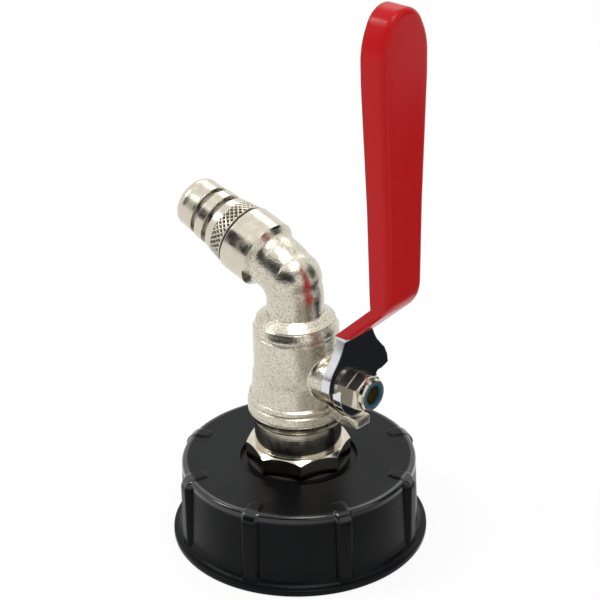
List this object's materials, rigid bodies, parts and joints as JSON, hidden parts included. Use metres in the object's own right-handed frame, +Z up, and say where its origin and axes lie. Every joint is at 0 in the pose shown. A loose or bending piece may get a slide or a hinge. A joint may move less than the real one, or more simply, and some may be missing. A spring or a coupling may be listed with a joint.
{
  "type": "ibc tap adapter",
  "caption": "Tap adapter for a bulk liquid container: 60 mm screw cap, quarter-turn ball valve with red lever, bent spout and hose nozzle.",
  "frame": {"origin": "centre of the cap's mouth, on the plane that its flange rests on", "axes": "+Z up the valve's axis; +X along the stem towards the lever; the spout bends towards -X"},
  "size_m": [0.0873, 0.08, 0.1805],
  "materials": {
    "cap_plastic": "satin",
    "cast_nickel": "satin",
    "turned_nickel": "polished",
    "brass": "satin",
    "ball_chrome": "polished",
    "lever_steel": "satin",
    "grip_vinyl": "gloss",
    "seal_rubber": "matte",
    "ptfe": "matte",
    "insert_nylon": "satin"
  },
  "bodies": {
    "root": {"threaded_cap": "cap_plastic", "cap_seal": "seal_rubber", "collar_washer": "seal_rubber", "inlet_connector": "turned_nickel", "connector_gasket": "seal_rubber", "valve_body": "cast_nickel", "lower_ball_seat": "ptfe", "upper_ball_seat": "ptfe", "stem_thrust_washer": "ptfe", "stem_packing": "ptfe", "packing_nut": "brass", "hose_nozzle": "turned_nickel", "outlet_gasket": "seal_rubber"},
    "lever_set": {"lever": "lever_steel", "lever_grip": "grip_vinyl", "lever_nut": "turned_nickel", "nut_insert": "insert_nylon", "stem": "brass", "ball": "ball_chrome", "stem_o_ring": "seal_rubber"}
  },
  "joints": [
    {"name": "lever_turn", "type": "hinge", "parent": "root", "child": "lever_set", "pos_m": [0, 0, 0.0584], "axis": [1, 0, 0], "range_deg": [-90, 90]}
  ]
}
